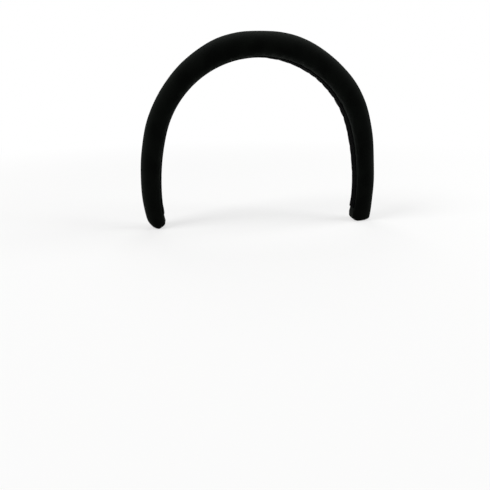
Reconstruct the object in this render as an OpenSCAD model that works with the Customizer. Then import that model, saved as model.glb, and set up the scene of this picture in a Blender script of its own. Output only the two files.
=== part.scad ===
// Padded headband, worn over the crown of the head from ear to ear.
// A flexible plastic arch carries a foam pad. One piece of velvet wraps both, closes over
// each tip, and turns in under the arch, where a ribbon glued along the middle hides its edges.
//
// Frame, in millimetres: the origin is the centre of the head circle, +Z points up through
// the crown, X runs ear to ear and Y runs front to back.
// A station is an arc length along the head face of the ribbon: 0 at the crown, + to the
// right tip, - to the left. A level is a height above that face, square to it.

/* [Head fit] */
// Radius of the head circle that the ribbon lies on
head_r = 65; // [58:0.5:72]
// Angle from the crown down to where the round arch becomes a leg
crown_angle = 74; // [64:1:82]
// Radius of the flatter leg below the round arch
leg_r = 147; // [110:1:220]
// Length of one leg, down to the tip
leg_len = 64; // [52:1:76]

/* [Outer shape] */
// Thickness of the finished band at the crown, ribbon included
crown_t = 16.5; // [13:0.5:20]
// Thickness of the finished band at the tips, ribbon included
tip_t = 12.5; // [11:0.5:14]
// Width of the finished band at the crown, front to back
crown_w = 33; // [29:0.5:40]
// Width of the finished band at the tips
tip_w = 14; // [13:0.5:18]
// Radius that rounds off the back and both sides of the padding at each tip
tip_round = 5; // [3.5:0.25:5.5]
// Radius that rounds off the head side of the padding at each tip
heel_round = 2; // [1.25:0.25:3]
// Share of the foam's height at which the band is widest
bulge_share = 0.28; // [0.2:0.02:0.45]
// Roundness of the padded back: 2 is an ellipse, more is boxier
dome_power = 2.2; // [2:0.1:3]

/* [Plastic arch] */
// Width of the arch at the crown
core_crown_w = 19; // [14:0.5:22]
// Width of the arch just before its rounded end
core_tip_w = 7.5; // [6.5:0.25:8.5]
// Thickness of the arch
core_t = 1.8; // [1.2:0.1:2.4]
// Distance from the end of the arch to the tip of the band
core_end_gap = 5; // [4:0.5:10]

/* [Cover and ribbon] */
// Thickness of the velvet cover, pile included
cover_t = 1; // [0.6:0.1:1.4]
// Gap between the cover's two turned-in edges
slot_w = 5; // [3:0.5:6]
// Length of cover that folds round each tip and closes it
tip_return = 14; // [10:1:20]
// Width of the lining ribbon
ribbon_w = 9; // [7:0.5:9.5]
// Thickness of the lining ribbon
ribbon_t = 0.6; // [0.4:0.1:1]
// Distance from the end of the ribbon to the tip of the band
ribbon_end_gap = 8; // [6:0.5:9]

/* [Adhesive] */
// Thickness of the tape between arch and foam
foam_tape_t = 0.3; // [0.2:0.05:0.6]
// Strip of arch left bare along each edge of that tape
foam_tape_inset = 1; // [0.5:0.25:2]

/* [Hidden] */

core_gap = 0.3;        // clearance between the arch's long edges and the cover
foam_gap = 0.1;        // clearance between the foam and the cover
glue_gap = 0.2;        // clearance round the glue in the slot
bore_trim = 0.1;       // what the head circle shaves off the ribbon's head face
cut_margin = 2;        // overrun of cutting shapes past what they cut
thickness_ease = 1.3;  // exponent of the thinning from crown to tip
width_ease = 1.5;      // exponent of the narrowing from crown to tip
corner_power = 2.4;    // roundness of the two edges beside the head

crown_len = head_r * crown_angle * PI / 180;
half_len = crown_len + leg_len;

cover_level = ribbon_t;                        // head side of the cover's turned-in edges
core_level = cover_level + cover_t;            // head side of the arch
tape_level = core_level + core_t;              // back of the arch, head side of the tape
foam_level = tape_level + foam_tape_t;         // head side of the foam

body_steps = 60;    // steps along the arch between the two rounded tips
tip_steps = 5;      // steps in one rounded tip
dome_steps = 14;    // facets over the padded back
corner_steps = 4;   // facets round one edge
end_steps = 6;      // facets round one corner of the arch's end

body_end = half_len - tip_round;               // where the tips start to round off
body_step = 2 * body_end / body_steps;
slot_end = half_len - tip_return;

// ---- the arch line ----

// Angle from the crown, in degrees, of a station from 0 up
function turn(s) = s < crown_len
    ? s / head_r * 180 / PI
    : crown_angle + (s - crown_len) / leg_r * 180 / PI;

// Centre of the arc that a station from 0 up lies on
function arc_centre(s) = s < crown_len
    ? [0, 0]
    : (head_r - leg_r) * [sin(crown_angle), cos(crown_angle)];

function arc_radius(s) = s < crown_len ? head_r : leg_r;

// Point [x, z] at a station and level
function along(s, level) =
    let (p = abs(s), a = turn(p),
         q = arc_centre(p) + (arc_radius(p) + level) * [sin(a), cos(a)])
    [sign(s) * q.x, q.y];

// Value at a station, eased from its size at the crown to its size at the tip
function taper(crown, tip, s, ease) = crown + (tip - crown) * pow(abs(s) / half_len, ease);

function band_t(s) = taper(crown_t, tip_t, s, thickness_ease);
function band_w(s) = taper(crown_w, tip_w, s, width_ease);
function core_w(s) = taper(core_crown_w, core_tip_w, s, width_ease);

// ---- the padded section, for a surface that lies inset below the finished one ----

// How far a surface has turned inwards at a station, where a radius rounds off its end
function turned_in(s, radius, inset) =
    let (r = radius - inset, past = abs(s) - half_len + radius)
    past <= 0 ? 0 : r - sqrt(max(0, r * r - past * past));

// [half width, half width of the flat, widest level, back level, head level]
function section(s, inset, head) =
    let (shrink = turned_in(s, tip_round, inset),
         full = band_w(s) / 2 - inset,
         half = full - shrink,
         wide = foam_level + bulge_share * (band_t(s) - cover_t - foam_level))
    [half, (core_w(s) / 2 + core_gap) * half / full, wide, band_t(s) - inset - shrink,
     head + turned_in(s, heel_round, inset)];

// Arc of the padded back, from the right edge over to the left
function dome(d) = [for (i = [0:dome_steps])
    let (a = 180 * i / dome_steps, e = 2 / dome_power)
    [sign(cos(a)) * d[0] * pow(abs(cos(a)), e), d[2] + (d[3] - d[2]) * pow(sin(a), e)]];

// Points round one edge, from the flat out to just below the widest level
function corner(d, from) = [for (i = [0:corner_steps - 1])
    let (a = from * (1 - i / corner_steps), e = 2 / corner_power)
    [d[1] + (d[0] - d[1]) * pow(cos(a), e), d[2] - (d[2] - d[4]) * pow(sin(a), e)]];

// Angle round the corner at which it reaches a level, or the head side if that comes first
function corner_angle(d, level) =
    asin(min(1, pow((d[2] - level) / (d[2] - d[4]), corner_power / 2)));

function mirrored(points) = [for (i = [len(points) - 1:-1:0]) [-points[i].x, points[i].y]];

// Section with a flat towards the head, cut off at a level
function pad_ring(d, level) =
    let (side = corner(d, corner_angle(d, level)))
    concat(side, dome(d), mirrored(side));

// Section of the cover: the same, opened by the slot at its first and last point
function skin_ring(s, inset, head) =
    let (d = section(s, inset, head),
         side = corner(d, 90),
         lip = slot_w / 2 * d[0] / (band_w(s) / 2 - inset))
    concat([[lip, d[4]]], side, dome(d), mirrored(side), [[-lip, d[4]]]);

// Section points set up at their station, as [x, y, z]
function placed(s, ring) = [for (p = ring) let (q = along(s, p.y)) [q.x, p.x, q.y]];

// Stations along the body, which every piece shares so that their facets lie flush
function body_stations() = [for (i = [0:body_steps]) i * body_step - body_end];

// Stations from tip to tip, closer together where the ends round off
function stations(inset) =
    let (r = tip_round - inset)
    concat(
        [for (i = [tip_steps:-1:1]) -body_end - r * sin(90 * i / tip_steps)],
        body_stations(),
        [for (i = [1:tip_steps]) body_end + r * sin(90 * i / tip_steps)]);

// ---- faces of a lofted tube, rings numbered along it and points numbered round it ----

function patch(first, size, i, j, k) = [first + i * size + j, first + i * size + k,
    first + (i + 1) * size + k, first + (i + 1) * size + j];

function flipped(face) = [for (i = [len(face) - 1:-1:0]) face[i]];

// End of the tube, listed from its back so that a fan of triangles fills it
function cap(first, size, i) =
    [for (j = [0:size - 1]) first + i * size + (j + floor(size / 2)) % size];

// Skin between points from and to of every ring
function tube_wall(first, size, rings) =
    [for (i = [0:rings - 2], j = [0:size - 2]) patch(first, size, i, j, j + 1)];

// Strip that closes the tube between its last and first point
function tube_seam(first, size, spans) = [for (i = spans) patch(first, size, i, size - 1, 0)];

module loft(rings) {
    size = len(rings[0]);
    last = len(rings) - 1;
    polyhedron(
        points = [for (r = rings, p = r) p],
        faces = concat(
            tube_wall(0, size, last + 1),
            tube_seam(0, size, [0:last - 1]),
            [flipped(cap(0, size, 0)), cap(0, size, last)]),
        convexity = 6);
}

// ---- flat strips that follow the arch ----

// Strip of constant width between two levels, ending at station end each side
module plain_strip(low, high, width, end) {
    s = concat([-end], [for (v = body_stations()) if (abs(v) < end) v], [end]);
    rotate([90, 0, 0])
        linear_extrude(width, center = true)
            polygon(concat(
                [for (v = s) along(v, low)],
                [for (i = [len(s) - 1:-1:0]) along(s[i], high)]));
}

// Outline [y, z] of a tapered strip seen from the side, with rounded end corners
function strip_outline(level, inset, end) =
    let (r = core_w(end) / 2 - inset, straight = end - r,
         side = concat(
            [[core_w(0) / 2 - inset, head_r + level + cut_margin]],
            [for (s = body_stations()) if (s > 0 && s < straight)
                [core_w(s) / 2 - inset, along(s, level).y]],
            [for (i = [0:end_steps])
                let (a = 90 * i / end_steps, s = straight + r * sin(a))
                [(core_w(straight) / 2 - inset) * cos(a), along(s, level).y]]))
    concat(side, mirrored([for (i = [0:len(side) - 2]) side[i]]));

module tapered_strip(low, high, inset, end) {
    intersection() {
        plain_strip(low, high, core_crown_w, end + cut_margin);
        rotate([90, 0, 90])
            linear_extrude(2 * (head_r + leg_r), center = true)
                polygon(strip_outline((low + high) / 2, inset, end));
    }
}

// ---- the pieces ----

module core_band() {
    color("ivory") tapered_strip(core_level, tape_level, 0, half_len - core_end_gap);
}

module foam_tape() {
    color("khaki")
        tapered_strip(tape_level, foam_level, foam_tape_inset,
            half_len - core_end_gap - foam_tape_inset);
}

module foam_pad() {
    inset = cover_t + foam_gap;
    color("lightgray")
        loft([for (s = stations(inset))
            placed(s, pad_ring(section(s, inset, core_level), foam_level))]);
}

// A shell with its own cavity. Along the middle it is open to the head through the slot;
// over the last stretch before each tip the slot is closed.
module outer_cover() {
    outside = stations(0);
    inside = stations(cover_t);
    rings = len(outside);
    skin = [for (s = outside) placed(s, skin_ring(s, 0, cover_level))];
    cavity = [for (s = inside) placed(s, skin_ring(s, cover_t, core_level))];
    size = len(skin[0]);
    base = rings * size;
    reach = [for (i = [0:rings - 2]) max(abs(outside[i]), abs(outside[i + 1]))];
    open = [for (i = [0:rings - 2]) if (reach[i] < slot_end) i];
    shut = [for (i = [0:rings - 2]) if (reach[i] >= slot_end) i];
    first = open[0];
    last = open[len(open) - 1] + 1;
    color("black") polyhedron(
        points = [for (surface = [skin, cavity], r = surface, p = r) p],
        faces = concat(
            tube_wall(0, size, rings),
            tube_seam(0, size, shut),
            [for (f = tube_wall(base, size, rings)) flipped(f)],
            [for (f = tube_seam(base, size, shut)) flipped(f)],
            [flipped(cap(0, size, 0)), cap(0, size, rings - 1)],
            [cap(base, size, 0), flipped(cap(base, size, rings - 1))],
            [for (i = open) slot_wall(size, base, i, 0)],
            [for (i = open) flipped(slot_wall(size, base, i, size - 1))],
            [slot_stop(size, base, first), flipped(slot_stop(size, base, last))]),
        convexity = 8);
}

// Cut edge of the cover along one side of the slot
function slot_wall(size, base, i, j) = [i * size + j, (i + 1) * size + j,
    base + (i + 1) * size + j, base + i * size + j];

// Cut edge of the cover across one end of the slot
function slot_stop(size, base, i) = [i * size, base + i * size,
    base + i * size + size - 1, i * size + size - 1];

module ribbon_glue() {
    color("wheat")
        plain_strip(cover_level, core_level, slot_w - 2 * glue_gap, slot_end - body_step);
}

// The crown's head face is a true cylinder, for whatever the band is put on
module lining_ribbon() {
    color("dimgray")
        difference() {
            plain_strip(-bore_trim, ribbon_t, ribbon_w, half_len - ribbon_end_gap);
            rotate([90, 0, 0])
                cylinder(r = head_r, h = ribbon_w + cut_margin, center = true, $fn = 360);
        }
}

core_band();
foam_tape();
foam_pad();
outer_cover();
ribbon_glue();
lining_ribbon();
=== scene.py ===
import math

import bpy
import numpy as np
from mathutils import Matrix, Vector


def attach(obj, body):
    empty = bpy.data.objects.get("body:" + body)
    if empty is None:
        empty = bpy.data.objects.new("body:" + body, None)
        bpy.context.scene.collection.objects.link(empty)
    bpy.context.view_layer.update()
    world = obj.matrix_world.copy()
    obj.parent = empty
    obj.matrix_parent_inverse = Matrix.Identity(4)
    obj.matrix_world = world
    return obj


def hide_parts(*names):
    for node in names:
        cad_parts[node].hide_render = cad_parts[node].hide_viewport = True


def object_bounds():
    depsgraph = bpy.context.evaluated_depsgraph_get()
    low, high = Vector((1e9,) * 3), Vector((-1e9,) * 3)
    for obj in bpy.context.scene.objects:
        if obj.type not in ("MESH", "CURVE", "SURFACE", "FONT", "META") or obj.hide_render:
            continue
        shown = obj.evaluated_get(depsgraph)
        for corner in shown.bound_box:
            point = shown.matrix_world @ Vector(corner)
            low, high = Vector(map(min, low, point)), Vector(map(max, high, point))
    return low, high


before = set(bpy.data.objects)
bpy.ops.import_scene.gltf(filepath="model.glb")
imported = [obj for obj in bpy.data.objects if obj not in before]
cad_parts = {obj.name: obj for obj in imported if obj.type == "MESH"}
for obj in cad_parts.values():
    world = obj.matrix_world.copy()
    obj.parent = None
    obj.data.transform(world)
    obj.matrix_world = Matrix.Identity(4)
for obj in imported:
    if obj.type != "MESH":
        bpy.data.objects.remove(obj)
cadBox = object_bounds()
print("frame loaded")

millimetre = 0.001

# the line that every piece follows: a round arch over the crown with a flatter leg on each side
# a station is a length along the head face, 0 at the crown; a level is a height above that face
arch = {
    "headRadius": 65 * millimetre,
    "crownTurn": math.radians(74),
    "legRadius": 147 * millimetre,
    "legLength": 64 * millimetre,
}
crownLength = arch["headRadius"] * arch["crownTurn"]
halfLength = crownLength + arch["legLength"]

# the padding's section; a pair of sizes is for the crown and for the tips
padding = {
    "thickness": (16.5 * millimetre, 12.5 * millimetre),
    "width": (33 * millimetre, 14 * millimetre),
    "flat": (19.6 * millimetre, 8.1 * millimetre),  # what lies flat against the plastic arch
    "thicknessEase": 1.3,  # 1 would thin the band evenly from crown to tip
    "widthEase": 1.5,
    "coverLevel": 0.6 * millimetre,  # where the velvet starts, on the ribbon
    "foamLevel": 3.7 * millimetre,  # where the foam starts, on the arch's tape
    "widest": 0.28,  # share of the foam's height at which the band is widest
    "cornerPower": 2.0,  # 2 is an ellipse, more is boxier
    "domePower": 2.2,
    "leastCorner": 1.5 * millimetre,  # width that the rounded edge beside the head keeps at least
    "cornerPoints": 40,
    "domePoints": 121,
}


def smooth(low, high, value):
    t = np.clip((value - low) / (high - low), 0, 1)
    return t * t * (3 - 2 * t)


# which stations are on a leg, and how far the arch has turned at each of them from the crown
def archTurn(station):
    s = np.abs(station)
    onLeg = s > crownLength
    legTurn = arch["crownTurn"] + (s - crownLength) / arch["legRadius"]
    return onLeg, np.where(onLeg, legTurn, s / arch["headRadius"])


# x and z of stations and levels on the arch
def archPoint(station, level):
    onLeg, turn = archTurn(station)
    radius = np.where(onLeg, arch["legRadius"], arch["headRadius"]) + level
    shift = np.where(onLeg, arch["headRadius"] - arch["legRadius"], 0)
    x = shift * math.sin(arch["crownTurn"]) + radius * np.sin(turn)
    z = shift * math.cos(arch["crownTurn"]) + radius * np.cos(turn)
    return np.sign(station) * x, z


# the way out from the head at a station
def archUp(station):
    turn = archTurn(station)[1]
    return np.stack([np.sign(station) * np.sin(turn), np.zeros_like(turn), np.cos(turn)], -1)


# points of a grid of stations, widths and levels, as they lie in space
def onArch(station, y, level):
    x, z = archPoint(station, level)
    return np.stack([x, y, z], -1)


def eased(name, station, power):
    crown, tip = padding[name]
    return crown + (tip - crown) * (np.abs(station) / halfLength) ** power


# how far a round of this radius has turned in at a distance from the tip
def roundedIn(radius, distance):
    past = np.clip(radius - distance, 0, radius)
    return radius - np.sqrt(radius * radius - past * past)


# evenly spaced points round one section as (y, level), from the slot over the back to the slot
def sectionLine(station, count, slot, inset, rounds):
    fromTip = halfLength - abs(station) - inset
    wideRound, backRound, heelRound = rounds
    half = eased("width", station, padding["widthEase"]) / 2 - inset - roundedIn(wideRound, fromTip)
    thick = eased("thickness", station, padding["thicknessEase"])
    back = thick - inset - roundedIn(backRound, fromTip)
    low = padding["coverLevel"] + inset + roundedIn(heelRound, fromTip)
    flat = min(eased("flat", station, padding["widthEase"]) / 2, half - padding["leastCorner"])
    widest = padding["foamLevel"] + padding["widest"] * (thick - padding["foamLevel"])
    widest = min(widest, (low + back) / 2)
    a = np.linspace(np.pi / 2, 0, padding["cornerPoints"])
    corner = np.stack([
        flat + (half - flat) * np.cos(a) ** (2 / padding["cornerPower"]),
        widest - (widest - low) * np.sin(a) ** (2 / padding["cornerPower"]),
    ], -1)
    a = np.linspace(0, np.pi, padding["domePoints"])[1:-1]
    dome = np.stack([
        np.sign(np.cos(a)) * half * np.abs(np.cos(a)) ** (2 / padding["domePower"]),
        widest + (back - widest) * np.sin(a) ** (2 / padding["domePower"]),
    ], -1)
    line = np.concatenate([[[slot, low]], corner, dome, corner[::-1] * (-1, 1), [[-slot, low]]])
    run = np.concatenate([[0], np.cumsum(np.hypot(*np.diff(line, axis=0).T))])
    even = np.linspace(0, run[-1], count)
    return np.stack([np.interp(even, run, line[:, 0]), np.interp(even, run, line[:, 1])], -1)


def meshPiece(name, points, faces):
    mesh = bpy.data.meshes.new(name)
    mesh.from_pydata(np.asarray(points).reshape(-1, 3).tolist(), [], faces)
    mesh.validate()
    mesh.polygons.foreach_set("use_smooth", [True] * len(mesh.polygons))
    piece = bpy.data.objects.new(name, mesh)
    bpy.context.scene.collection.objects.link(piece)
    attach(piece, "root")
    return piece


def gridFaces(rows, columns, around=False):
    faces = []
    for i in range(rows - 1):
        near = i * columns
        far = near + columns
        for j in range(columns if around else columns - 1):
            k = (j + 1) % columns
            faces.append((near + j, near + k, far + k, far + j))
    return faces


# the two end faces of a closed tube of rings
def endFaces(rows, columns):
    last = (rows - 1) * columns
    return [tuple(range(columns))[::-1], tuple(range(last, last + columns))]


# a finer grid through the same points, by cubic curves along one axis
def finer(grid, at, axis):
    grid = np.moveaxis(grid, axis, 0)
    i = np.clip(np.floor(at).astype(int), 0, len(grid) - 2)
    t = (at - i).reshape([-1] + [1] * (grid.ndim - 1))
    before = grid[np.maximum(i - 1, 0)]
    here = grid[i]
    there = grid[i + 1]
    after = grid[np.minimum(i + 2, len(grid) - 1)]
    made = (2 * t**3 - 3 * t**2 + 1) * here + (t**3 - 2 * t**2 + t) * (there - before) / 2
    made = made + (3 * t**2 - 2 * t**3) * there + (t**3 - t**2) * (after - here) / 2
    return np.moveaxis(made, 0, axis)


# the velvet: one wrap round foam and arch, its edges turned in beside a slot that the ribbon hides
velvet = {
    "slot": 2.5 * millimetre,  # half the gap between the edges
    "leastSlot": 0.05 * millimetre,
    "closedFrom": 13 * millimetre,  # nearer the tips than this the two edges draw together
    "opening": (0.7, 1),  # shares of that length over which they part
    "joined": 0.68,  # share of that length up to which they are one
    # how each tip is rounded: to the sides, to the back and to the head
    # then, in millimetres, how far its end is cut short at a level, and how far its head side
    # is drawn in at a distance from the tip
    "left": {
        "rounds": (3.2 * millimetre, 7.6 * millimetre, 1.2 * millimetre),
        "shortBy": ((0, 1.7), (4.8, -0.9), (12, -0.6)),
        "drawnIn": ((0, 0), (9, 0.2), (30, 0)),
    },
    "right": {
        "rounds": (1.6 * millimetre, 1.9 * millimetre, 2.0 * millimetre),
        "shortBy": ((0, -0.6), (5, -0.5), (12, 1.2)),
        "drawnIn": ((0, 1.3), (4.5, 0.3), (20, 0.2), (40, 0)),
    },
    "shortZone": 8 * millimetre,
    "drawnTo": (1 * millimetre, 6 * millimetre),  # levels over which the drawing in fades out
    # how much fuller the foam is than its drawing, in millimetres, at even steps from tip to tip
    "fuller": (-0.6, 0.4, 0.3, 0.1, -0.8, -0.4, 0.4, -0.4, 0.4, 0.2, 0.9, 0.6, 0.1, 0.9, 1.9),
    "fullerFrom": (3 * millimetre, 11 * millimetre),  # levels over which that comes in
    "bodyStep": 1.2 * millimetre,
    "endStep": 0.8 * millimetre,
    "endZone": 16 * millimetre,
    "turnRings": 9,
    "capRings": (0.82, 0.6, 0.36, 0.12),  # sizes of the rings that close an end
    "around": 45,
    "cloth": 0.8 * millimetre,
}

# straight cloth that goes round a curve gathers in creases, which run out from under the ribbon
gathers = {
    "seed": 5,
    "spacing": (4.5 * millimetre, 9.5 * millimetre),
    "depth": (0.15 * millimetre, 0.6 * millimetre),
    "width": (0.9 * millimetre, 1.8 * millimetre),
    "reach": (2.5 * millimetre, 6 * millimetre),
    "slant": 0.35,
    "sharpness": 1.5,
    "fadeFrom": 0.3,  # share of its reach at which a crease starts to fade
    "onLegs": 0.5,  # depth on the flatter legs, as a share of that over the crown
    "changeZone": 10 * millimetre,
    "clearOfTips": 12 * millimetre,
    "start": 0.8,  # share of the depth that is there before the cloth settles
    "spare": 1.3,  # share of the depth that the cloth is cut for
}


def nearTip(station):
    return velvet["left"] if station < 0 else velvet["right"]


# stations from tip to tip, and the shrink of each ring where the cloth closes over an end
def velvetRings():
    tip = velvet["left"]["rounds"][1]
    bodyEnd = halfLength - velvet["endZone"]
    body = np.linspace(0, bodyEnd, round(bodyEnd / velvet["bodyStep"]))[:-1]
    near = np.arange(bodyEnd, halfLength - tip - velvet["endStep"] / 2, velvet["endStep"])
    turnIn = halfLength - tip * (1 - np.sin(np.linspace(0, np.pi / 2, velvet["turnRings"])))
    half = np.concatenate([body, near, turnIn])
    caps = np.array(velvet["capRings"])
    stations = np.concatenate([half, np.full(len(caps), halfLength)])
    shrinks = np.concatenate([np.ones(len(half)), caps])
    return np.concatenate([-stations[:0:-1], stations]), np.concatenate([shrinks[:0:-1], shrinks])


# the foam's unevenness at a station, as a smooth curve through the values
def fullness(station):
    values = np.array(velvet["fuller"]) * millimetre
    at = (station / halfLength + 1) / 2 * (len(values) - 1)
    k = min(int(at), len(values) - 2)
    return values[k] + (values[k + 1] - values[k]) * smooth(0, 1, at - k)


# how far the head side is drawn in towards the foam at a station
def drawnIn(station):
    distances, depths = np.transpose(nearTip(station)["drawnIn"]) * millimetre
    return np.interp(halfLength - abs(station), distances, depths)


# the section with the unevenness of this one band
def unevenLine(station, count, slot, inset):
    line = sectionLine(station, count, slot, inset, nearTip(station)["rounds"])
    line[:, 1] += fullness(station) * smooth(*velvet["fullerFrom"], line[:, 1])
    line[:, 1] += drawnIn(station) * (1 - smooth(*velvet["drawnTo"], line[:, 1]))
    return line


# stations of a section's points, which aren't all alike where the band's end is cut
def cutShort(station, levels):
    at, cuts = np.transpose(nearTip(station)["shortBy"]) * millimetre
    near = 1 - smooth(0, velvet["shortZone"], halfLength - abs(station))
    return station - math.copysign(1, station) * np.interp(levels, at, cuts) * near


# station, y and level of every point of the wrap, before it is set on the arch
def velvetGrid():
    rows = []
    for station, shrink in zip(*velvetRings()):
        parted = smooth(*velvet["opening"], (halfLength - abs(station)) / velvet["closedFrom"])
        line = unevenLine(station, velvet["around"], velvet["slot"] * parted + velvet["leastSlot"], 0)
        middle = (line.min(0) + line.max(0)) / 2
        line = middle + (line - middle) * shrink
        rows.append(np.column_stack([cutShort(station, line[:, 1]), line]))
    return np.array(rows)


# which way a grid of points faces
def gridNormals(points):
    along = np.gradient(points, axis=0)
    around = np.gradient(points, axis=1)
    normals = np.cross(around, along)
    return normals / np.maximum(np.linalg.norm(normals, axis=-1, keepdims=True), 1e-12)


def creaseDepth(station, y, level):
    chance = np.random.default_rng(gathers["seed"])
    zone = (crownLength - gathers["changeZone"], crownLength + gathers["changeZone"])
    depth = np.zeros_like(station)
    for side in (-1, 1):
        at = -halfLength + gathers["clearOfTips"]
        while at < halfLength - gathers["clearOfTips"]:
            deep = chance.uniform(*gathers["depth"])
            reach = chance.uniform(*gathers["reach"])
            slant = chance.uniform(-gathers["slant"], gathers["slant"])
            width = chance.uniform(*gathers["width"])
            near = np.abs(station + slant * level - at) / width
            fade = 1 - smooth(gathers["fadeFrom"] * reach, reach, level)
            bend = 1 - (1 - gathers["onLegs"]) * smooth(*zone, abs(at))
            depth += deep * bend * np.exp(-near ** gathers["sharpness"]) * fade * (y * side > 0)
            at += chance.uniform(*gathers["spacing"])
    return depth


# how the velvet settles: held at the ribbon and at the tips, and pushed out by the foam
settling = {
    "size": 10,  # cloth solves better at ten times the size
    "pinned": 5.4 * millimetre,  # held down by the ribbon's glue, from the middle
    "pinnedLevel": 1.2 * millimetre,
    "heldTip": 7 * millimetre,
    "frames": 24,
    "mostMove": 1.1 * millimetre,
    "evening": 12,  # rounds that even out the move
    "evenFrom": (1.5 * millimetre, 5 * millimetre),  # levels over which the even move takes over
    "cloth": {
        "quality": 8,
        "mass": 0.15,
        "tension_stiffness": 30,
        "compression_stiffness": 30,
        "shear_stiffness": 12,
        "bending_stiffness": 0.3,
        "tension_damping": 20,
        "compression_damping": 20,
        "shear_damping": 20,
        "bending_damping": 2,
        "air_damping": 4,
        "use_pressure": True,
        "uniform_pressure_force": 2.5,
    },
}


# a grid moved one place along an axis, with its last line repeated
def neighbour(grid, axis, by):
    at = np.clip(np.arange(grid.shape[axis]) + by, 0, grid.shape[axis] - 1)
    return np.take(grid, at, axis)


# where a sheet comes to rest that starts in one shape and is cut for another
def settled(start, cut, held):
    mesh = bpy.data.meshes.new("velvetSettling")
    mesh.from_pydata((start.reshape(-1, 3) * settling["size"]).tolist(), [], gridFaces(*held.shape))
    sheet = bpy.data.objects.new("velvetSettling", mesh)
    bpy.context.scene.collection.objects.link(sheet)
    sheet.shape_key_add(name="start")
    cutShape = sheet.shape_key_add(name="cut")
    cutShape.data.foreach_set("co", (cut * settling["size"]).ravel())
    pins = sheet.vertex_groups.new(name="held")
    pins.add(np.flatnonzero(held).tolist(), 1, "REPLACE")
    cloth = sheet.modifiers.new("cloth", "CLOTH").settings
    cloth.rest_shape_key = cutShape
    cloth.vertex_group_mass = "held"
    cloth.effector_weights.gravity = 0
    for name, value in settling["cloth"].items():
        setattr(cloth, name, value)
    for frameNumber in range(1, settling["frames"] + 1):
        bpy.context.scene.frame_set(frameNumber)
    view = bpy.context.evaluated_depsgraph_get()
    points = np.zeros(start.size)
    sheet.evaluated_get(view).data.vertices.foreach_get("co", points)
    bpy.context.scene.frame_set(1)
    bpy.data.objects.remove(sheet)
    return points.reshape(start.shape) / settling["size"]


# the wrap, with spare length in its gathers, as it settles on the foam
def settleVelvet(flatGrid, points):
    station, y, level = np.moveaxis(flatGrid, -1, 0)
    underRibbon = (np.abs(y) < settling["pinned"]) & (level < settling["pinnedLevel"])
    held = underRibbon | (halfLength - np.abs(station) < settling["heldTip"])
    inwards = -gridNormals(points) * creaseDepth(station, y, level)[..., None]
    start = points + inwards * gathers["start"]
    cut = points + inwards * gathers["spare"]
    move = settled(start, cut, held) - points
    move = np.where(np.isfinite(move), move, 0)
    far = np.linalg.norm(move, axis=-1, keepdims=True)
    print("velvet moved, most and mean, mm", far.max() / millimetre, far.mean() / millimetre)
    move *= np.minimum(1, settling["mostMove"] / np.maximum(far, 1e-9))
    # the foam keeps the cloth even everywhere but at the gathers
    even = move.copy()
    for _ in range(settling["evening"]):
        for axis in (0, 1):
            even = 0.5 * even + 0.25 * (neighbour(even, axis, -1) + neighbour(even, axis, 1))
    onFoam = smooth(*settling["evenFrom"], level)[..., None]
    return points + move + (even - move) * onFoam


# the tongue of cloth folded over each tip onto the head side, and glued down under the ribbon's end
flap = {
    "length": 12 * millimetre,
    "tipHalf": 5.2 * millimetre,
    "ribbonHalf": 3.9 * millimetre,
    "thick": (0.45 * millimetre, 0.12 * millimetre),  # at the tip, and pressed thin at its end
    "edge": 0.3 * millimetre,
    "endFade": 1 * millimetre,
    "levelFade": (2 * millimetre, 4 * millimetre),
}


def flapThickness(fromTip):
    tip, end = flap["thick"]
    return tip + (end - tip) * smooth(0, flap["length"], fromTip)


def flapHeight(station, y, level):
    fromTip = halfLength - np.abs(station)
    along = np.clip(fromTip / flap["length"], 0, 1)
    half = flap["tipHalf"] + (flap["ribbonHalf"] - flap["tipHalf"]) * along
    edge = smooth(-flap["edge"], flap["edge"], half - np.abs(y))
    end = 1 - smooth(flap["length"] - flap["endFade"], flap["length"], fromTip)
    return flapThickness(fromTip) * edge * end * (1 - smooth(*flap["levelFade"], level))


def makeVelvet():
    flatGrid = velvetGrid()
    points = onArch(*np.moveaxis(flatGrid, -1, 0))
    points = settleVelvet(flatGrid, points)
    # every second line of the finer grid is a new one
    both = np.concatenate([points, flatGrid], -1)
    for axis in (0, 1):
        both = finer(both, np.arange(2 * both.shape[axis] - 1) / 2, axis)
    rows, columns = both.shape[:2]
    station, y, level = np.moveaxis(both[..., 3:], -1, 0)
    points = both[..., :3] - archUp(station) * flapHeight(station, y, level)[..., None]
    # the two edges are one under the folded tongue, and apart under the ribbon
    fromTip = halfLength - np.abs(station[:, columns // 2])
    joined = fromTip < velvet["joined"] * velvet["closedFrom"]
    points[joined, 0] = (points[joined, 0] + points[joined, -1]) / 2
    kept = np.ones((rows, columns), bool)
    kept[joined, -1] = False
    number = (np.cumsum(kept) - 1).reshape(rows, columns)
    number[joined, -1] = number[joined, 0]
    faces = number.ravel()[gridFaces(rows, columns)].tolist()
    faces += [number[0, :-1][::-1].tolist(), number[-1, :-1].tolist()]
    cover = meshPiece("velvetCover", points[kept], faces)
    shell = cover.modifiers.new("cloth", "SOLIDIFY")
    shell.thickness = velvet["cloth"]
    shell.offset = -1
    cover.data.materials.append(velvetFinish())
    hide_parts("outer_cover")
    print("velvet cover made,", kept.sum(), "points")


# the foam, one die-cut strip with a flat face towards the arch
foam = {
    "inset": 1.1 * millimetre,
    "step": 3 * millimetre,
    "turnRings": 11,
    "around": 41,
}


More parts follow.
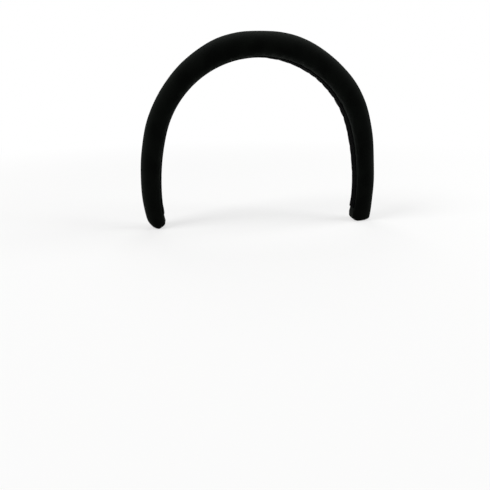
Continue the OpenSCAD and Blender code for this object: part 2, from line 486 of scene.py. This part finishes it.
def makeFoam():
    end = halfLength - foam["inset"]
    turnIn = end - velvet["shortZone"] * (1 - np.sin(np.linspace(0, np.pi / 2, foam["turnRings"])))
    half = np.concatenate([np.arange(0, turnIn[0], foam["step"]), turnIn])
    rows = []
    for station in np.concatenate([-half[:0:-1], half]):
        line = unevenLine(station, foam["around"], 0, foam["inset"])[:-1]
        line[:, 1] = np.maximum(line[:, 1], padding["foamLevel"])
        rows.append(onArch(cutShort(station, line[:, 1]), *line.T))
    count = len(rows[0])
    faces = gridFaces(len(rows), count, around=True) + endFaces(len(rows), count)
    piece = meshPiece("foamPadding", np.array(rows), faces)
    piece.data.materials.append(foamFinish())
    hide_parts("foam_pad")
    print("foam made")


# grosgrain ribbon, glued along the middle of the head side, its ends turned under
ribbon = {
    "half": 4.5 * millimetre,
    "thick": 0.6 * millimetre,
    "endGap": 8 * millimetre,
    "rib": 0.85 * millimetre,
    "ribHeight": 0.11 * millimetre,
    "rowsPerRib": 4,
    "headPoints": 11,  # points across the side that shows
    "scallop": 0.07 * millimetre,
    "edgeRound": 0.06 * millimetre,
    "edgeBulge": 1.02,
    "blunt": 0.5,  # share of the thickness that rounds off each end
    "turnedUnder": 6 * millimetre,
    "turnFade": 0.8 * millimetre,
    "extra": 0.12 * millimetre,  # what the turned end adds to the height
    "wander": 0.15 * millimetre,
    "wanders": 14,
    "seed": 3,
}


# how far the ribbon is lifted off its usual level near a tip, by the flap and by its own turned end
def ribbonLift(station):
    fromTip = halfLength - np.abs(station)
    flapEnd = (flap["length"] - flap["endFade"], flap["length"] + flap["endFade"])
    onFlap = flapThickness(fromTip) * (1 - smooth(*flapEnd, fromTip))
    turned = ribbon["endGap"] + ribbon["turnedUnder"]
    doubled = ribbon["extra"] * (1 - smooth(turned - ribbon["turnFade"], turned, fromTip))
    return onFlap + doubled - [drawnIn(s) for s in station]


def makeRibbon():
    end = halfLength - ribbon["endGap"]
    ribs = round(2 * end / ribbon["rib"])
    station = np.linspace(-end, end, ribs * ribbon["rowsPerRib"] + 1)
    swell = 0.5 + 0.5 * np.cos(np.linspace(0, 2 * np.pi * ribs, len(station)))[:, None]
    chance = np.random.default_rng(ribbon["seed"])
    turns = np.linspace(-end, end, ribbon["wanders"])
    wander = np.interp(station, turns, chance.normal(0, ribbon["wander"], ribbon["wanders"]))
    # one round of the section: across the side that shows, then back along the glued side
    lift = ribbonLift(station)[:, None]
    blunt = roundedIn(ribbon["blunt"] * ribbon["thick"], end - np.abs(station))[:, None]
    headSide = ribbon["ribHeight"] * (1 - swell) + blunt - lift
    gluedSide = ribbon["thick"] - blunt - lift
    edge = (gluedSide - lift) / 2
    count = ribbon["headPoints"]
    level = np.concatenate([np.repeat(headSide, count, 1), edge, np.repeat(gluedSide, 3, 1), edge], 1)
    level[:, [0, count - 1]] += ribbon["edgeRound"]
    bulge = ribbon["edgeBulge"]
    across = np.concatenate([np.linspace(-1, 1, count), [bulge, 1, 0, -1, -bulge]])
    y = across * (ribbon["half"] + ribbon["scallop"] * (swell - 1)) + wander[:, None]
    points = onArch(np.broadcast_to(station[:, None], y.shape), y, level)
    rows, columns = y.shape
    faces = gridFaces(rows, columns, around=True) + endFaces(rows, columns)
    piece = meshPiece("liningRibbon", points, faces)
    piece.data.materials.append(ribbonFinish())
    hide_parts("lining_ribbon")
    print("ribbon made with", ribs, "ribs")


# one value or colour in a node tree, so that sums written on it become Math nodes
class nodeValue:
    def __init__(self, sheet, socket):
        self.sheet = sheet
        self.socket = socket

    def maths(self, operation, first, second):
        return self.sheet.node("ShaderNodeMath", {"operation": operation}, {0: first, 1: second})

    def __add__(self, other):
        return self.maths("ADD", self, other)

    def __radd__(self, other):
        return self.maths("ADD", other, self)

    def __sub__(self, other):
        return self.maths("SUBTRACT", self, other)

    def __rsub__(self, other):
        return self.maths("SUBTRACT", other, self)

    def __mul__(self, other):
        return self.maths("MULTIPLY", self, other)

    def __rmul__(self, other):
        return self.maths("MULTIPLY", other, self)


# the nodes of a material or of the world
class nodeSheet:
    def __init__(self, tree):
        self.tree = tree

    def node(self, kind, settings=None, inputs=None, output=0):
        made = self.tree.nodes.new(kind)
        for name, value in (settings or {}).items():
            setattr(made, name, value)
        for name, value in (inputs or {}).items():
            self.plug(made.inputs[name], value)
        return nodeValue(self, made.outputs[output])

    def plug(self, socket, value):
        if isinstance(value, nodeValue):
            self.tree.links.new(value.socket, socket)
        else:
            socket.default_value = value

    # 1 where the camera or a reflection sees a background straight, and 0 for the light it gives
    def seenDirectly(self):
        straight = self.node("ShaderNodeLightPath", output="Is Camera Ray")
        path = straight.socket.node
        glossy = nodeValue(self, path.outputs["Is Glossy Ray"])
        through = nodeValue(self, path.outputs["Is Transmission Ray"])
        return straight + glossy + through


# a material; what is the same all over it is set on its shader's own sockets
class finish(nodeSheet):
    def __init__(self, name, **fixed):
        self.material = bpy.data.materials.new(name)
        self.material.use_nodes = True
        super().__init__(self.material.node_tree)
        self.shader = self.tree.nodes["Principled BSDF"]
        self.paint(**fixed)

    def place(self):
        return self.node("ShaderNodeTexCoord", output="Object")

    # grain of a real size in metres, from 0 to 1 and about a half
    def grain(self, size, detail=2, roughness=0.5):
        inputs = {"Vector": self.place(), "Scale": 1 / size, "Detail": detail, "Roughness": roughness}
        return self.node("ShaderNodeTexNoise", {}, inputs, "Fac")

    # its sockets 6 and 7 take the colours, and socket 2 gives the mixed one
    def blend(self, amount, first, second):
        settings = {"data_type": "RGBA"}
        return self.node("ShaderNodeMix", settings, {"Factor": amount, 6: first, 7: second}, 2)

    def spread(self, value, low, high):
        inputs = {"Value": value, "From Min": low, "From Max": high}
        return self.node("ShaderNodeMapRange", {"interpolation_type": "SMOOTHSTEP"}, inputs)

    def bump(self, height, depth):
        return self.node("ShaderNodeBump", {}, {"Height": height, "Distance": depth, "Strength": 1})

    def paint(self, **inputs):
        for socket, value in inputs.items():
            self.plug(self.shader.inputs[socket.replace("_", " ")], value)
        return self.material


velvetLook = {
    # painted shade and painted sheen of the one black pile, as its two base colours
    "shade": (0.0005, 0.0006, 0.0005, 1),
    "lit": (0.0026, 0.0032, 0.0026, 1),
    "sheen": 0.040,
    "sheenRoughness": 0.52,
    "sheenTint": (0.90, 1, 0.92, 1),
    "specular": 0.006,
    "roughest": 0.98,
    "napShine": 0.14,
    "brushedSheen": 14 * millimetre,
    "turning": (0.35, 0.65),  # grain between which the pile goes from one lie to the other
    "tuft": 0.7 * millimetre,
    "pile": 0.18 * millimetre,
    "pileDepth": 0.10 * millimetre,
}


# pile that is black where it is faced and paler at a slant; its base colour is painted shade and
# painted sheen, in patches where it is brushed this way and that and in the pile's dips
def velvetFinish():
    made = finish(
        "blackVelvet",
        Sheen_Weight=velvetLook["sheen"],
        Sheen_Roughness=velvetLook["sheenRoughness"],
        Sheen_Tint=velvetLook["sheenTint"],
        Specular_IOR_Level=velvetLook["specular"],
    )
    brushedSheen = made.spread(made.grain(velvetLook["brushedSheen"], detail=3), *velvetLook["turning"])
    tuft = made.grain(velvetLook["tuft"])
    pile = made.grain(velvetLook["pile"], detail=3, roughness=0.65)
    napAndPaintedSheen = brushedSheen * 0.45 + tuft * 0.2 + pile * 0.35
    height = pile * 0.8 + tuft * 0.25
    return made.paint(
        # painted sheen and painted shade: the base colour goes from the shaded to the lit pile over the
        # brushed patches and is darker where the pile bump is low
        Base_Color=made.blend(napAndPaintedSheen, velvetLook["shade"], velvetLook["lit"]),
        Roughness=velvetLook["roughest"] - napAndPaintedSheen * velvetLook["napShine"],
        Normal=made.bump(height, velvetLook["pileDepth"]),
    )


ribbonLook = {
    # the valley colour is painted shade on the ribbon's own black, the crest colour is that black
    # itself
    "valleyShade": (0.0009, 0.0010, 0.0010, 1),
    "crest": (0.0028, 0.0029, 0.0030, 1),
    "specular": 0.008,
    "smoothest": 0.7,
    "rougherBy": 0.3,
    "thread": 0.16 * millimetre,
    "threadDepth": 0.05 * millimetre,
    "uneven": 6 * millimetre,
}


def ribbonFinish():
    made = finish("blackGrosgrain", Specular_IOR_Level=ribbonLook["specular"])
    yarn = made.grain(ribbonLook["thread"])
    uneven = made.grain(ribbonLook["uneven"])
    toneAndShade = yarn * 0.6 + uneven * 0.4
    return made.paint(
        # the base colour is darker where the thread bump is low, which is painted shade, over an uneven
        # tone that the ribbon has
        Base_Color=made.blend(toneAndShade, ribbonLook["valleyShade"], ribbonLook["crest"]),
        Roughness=ribbonLook["smoothest"] + toneAndShade * ribbonLook["rougherBy"],
        Normal=made.bump(yarn, ribbonLook["threadDepth"]),
    )


foamLook = {
    # the colour in the cells is painted shade in the hollows, the wall colour is the foam's own
    "cellShade": (0.52, 0.52, 0.50, 1),
    "walls": (0.74, 0.73, 0.66, 1),
    "specular": 0.2,
    "smoothest": 0.85,
    "rougherBy": 0.15,
    "cell": 0.9 * millimetre,
    "cellDepth": 0.3 * millimetre,
    "yellowed": 30 * millimetre,
}


def foamFinish():
    made = finish("openCellFoam", Specular_IOR_Level=foamLook["specular"])
    inputs = {"Vector": made.place(), "Scale": 1 / foamLook["cell"]}
    cells = made.node("ShaderNodeTexVoronoi", {"feature": "F1"}, inputs, "Distance")
    yellowed = made.grain(foamLook["yellowed"])
    toneAndShade = cells * 0.6 + yellowed * 0.4
    return made.paint(
        # the base colour is darker in the cells, where the bump is low, which is painted shade, over
        # real yellowing of the foam
        Base_Color=made.blend(toneAndShade, foamLook["cellShade"], foamLook["walls"]),
        Roughness=foamLook["smoothest"] + cells * foamLook["rougherBy"],
        Normal=made.bump(cells, foamLook["cellDepth"]),
    )


plasticLook = {
    "ivory": (0.76, 0.73, 0.64, 1),
    "cream": (0.83, 0.80, 0.71, 1),
    "specular": 0.5,
    "smoothest": 0.34,
    "rougherBy": 0.16,
    "mist": 0.5 * millimetre,
    "mistDepth": 0.02 * millimetre,
    "flow": 18 * millimetre,
}


def mouldedFinish():
    made = finish("mouldedPlastic", Specular_IOR_Level=plasticLook["specular"])
    mist = made.grain(plasticLook["mist"], detail=3)
    flow = made.grain(plasticLook["flow"])
    return made.paint(
        Base_Color=made.blend(flow, plasticLook["ivory"], plasticLook["cream"]),
        Roughness=plasticLook["smoothest"] + mist * plasticLook["rougherBy"],
        Normal=made.bump(mist, plasticLook["mistDepth"]),
    )


tapeLook = {
    "adhesive": (0.50, 0.44, 0.30, 1),
    "tissue": (0.72, 0.66, 0.48, 1),
    "specular": 0.3,
    "smoothest": 0.55,
    "rougherBy": 0.3,
    "fibre": 0.4 * millimetre,
    "fibreDepth": 0.03 * millimetre,
}


def tapeFinish():
    made = finish("tissueTape", Specular_IOR_Level=tapeLook["specular"])
    fibre = made.grain(tapeLook["fibre"], detail=4, roughness=0.7)
    return made.paint(
        Base_Color=made.blend(fibre, tapeLook["adhesive"], tapeLook["tissue"]),
        Roughness=tapeLook["smoothest"] + fibre * tapeLook["rougherBy"],
        Normal=made.bump(fibre, tapeLook["fibreDepth"]),
    )


glueLook = {
    "amber": (0.62, 0.50, 0.28, 1),
    "straw": (0.82, 0.73, 0.52, 1),
    "specular": 0.5,
    "smoothest": 0.2,
    "rougherBy": 0.25,
    "drawn": 3 * millimetre,
    "drawnDepth": 0.15 * millimetre,
}


def glueFinish():
    made = finish("driedGlue", Specular_IOR_Level=glueLook["specular"])
    drawn = made.grain(glueLook["drawn"])
    return made.paint(
        Base_Color=made.blend(drawn, glueLook["amber"], glueLook["straw"]),
        Roughness=glueLook["smoothest"] + drawn * glueLook["rougherBy"],
        Normal=made.bump(drawn, glueLook["drawnDepth"]),
    )


# the hidden pieces keep their CAD shape
def finishCadNodes():
    looks = {"core_band": mouldedFinish, "foam_tape": tapeFinish, "ribbon_glue": glueFinish}
    for name, look in looks.items():
        material = look()
        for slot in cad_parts[name].material_slots:
            slot.material = material
    print("CAD pieces finished:", ", ".join(looks))


makeVelvet()
makeFoam()
makeRibbon()
finishCadNodes()

# the camera, and a plain pale floor in plain soft light
camera = {
    "place": (-0.04967, -0.34593, 0.05186),
    "turn": (71.719, 0.533, -6.603),
    "lens": 36.948,
    "sensor": 36,
    "nearest": 0.01,
}
studio = {
    "floorSize": 6,
    "floorGap": 0.2 * millimetre,
    "floorColour": (0.86, 0.86, 0.855, 1),
    "floorRoughness": 0.9,
    "floorSpecular": 0.1,
    "floorWhite": 0.6,  # share of plain white in it as it is seen, so that its shadows stay light
    "fadeFrom": 0.18,
    "fadeTo": 0.55,
    "skyLight": 0.25,
    "lamps": {
        "key": {"at": (-0.7, -0.3, 0.85), "size": 0.5, "power": 6.5},
        "fill": {"at": (0.8, -0.1, 0.6), "size": 0.7, "power": 6.5},
        "back": {"at": (0.0, 0.7, 0.9), "size": 0.6, "power": 3},
    },
}


def setCamera():
    data = bpy.data.cameras.new("camera")
    data.sensor_width = camera["sensor"]
    data.lens = camera["lens"]
    data.clip_start = camera["nearest"]
    made = bpy.data.objects.new("camera", data)
    made.location = camera["place"]
    made.rotation_euler = [math.radians(a) for a in camera["turn"]]
    bpy.context.scene.collection.objects.link(made)
    bpy.context.scene.camera = made


# a floor that is seen as white further out, and keeps the band's shadow
def floorFinish():
    made = finish(
        "paleFloor",
        Base_Color=studio["floorColour"],
        Roughness=studio["floorRoughness"],
        Specular_IOR_Level=studio["floorSpecular"],
    )
    distance = made.node("ShaderNodeVectorMath", {"operation": "LENGTH"}, {0: made.place()}, "Value")
    far = made.spread(distance, studio["fadeFrom"], studio["fadeTo"])
    share = studio["floorWhite"] + (1 - studio["floorWhite"]) * far
    white = made.node("ShaderNodeEmission", {}, {"Color": (1, 1, 1, 1), "Strength": 1})
    shader = nodeValue(made, made.shader.outputs[0])
    mixed = made.node("ShaderNodeMixShader", {}, {0: share * made.seenDirectly(), 1: shader, 2: white})
    made.plug(made.tree.nodes["Material Output"].inputs["Surface"], mixed)
    return made.material


def makeFloor():
    half = studio["floorSize"] / 2
    low = cadBox[0].z - studio["floorGap"]
    corners = [(x * half, y * half, low) for x, y in ((-1, -1), (1, -1), (1, 1), (-1, 1))]
    mesh = bpy.data.meshes.new("floor")
    mesh.from_pydata(corners, [], [(0, 1, 2, 3)])
    mesh.materials.append(floorFinish())
    floor = bpy.data.objects.new("floor", mesh)
    bpy.context.scene.collection.objects.link(floor)


def makeLight():
    world = bpy.data.worlds.new("studio")
    world.use_nodes = True
    bpy.context.scene.world = world
    air = nodeSheet(world.node_tree)
    sky = world.node_tree.nodes["Background"]
    air.plug(sky.inputs["Color"], (1, 1, 1, 1))
    air.plug(sky.inputs["Strength"], studio["skyLight"] + (1 - studio["skyLight"]) * air.seenDirectly())
    middle = (cadBox[0] + cadBox[1]) / 2
    for name, lamp in studio["lamps"].items():
        data = bpy.data.lights.new(name, "AREA")
        data.size = lamp["size"]
        data.energy = lamp["power"]
        made = bpy.data.objects.new(name, data)
        made.location = lamp["at"]
        made.rotation_euler = (middle - made.location).to_track_quat("-Z", "Y").to_euler()
        bpy.context.scene.collection.objects.link(made)


setCamera()
makeFloor()
makeLight()
bpy.context.scene.view_settings.view_transform = "Standard"
print("studio set")
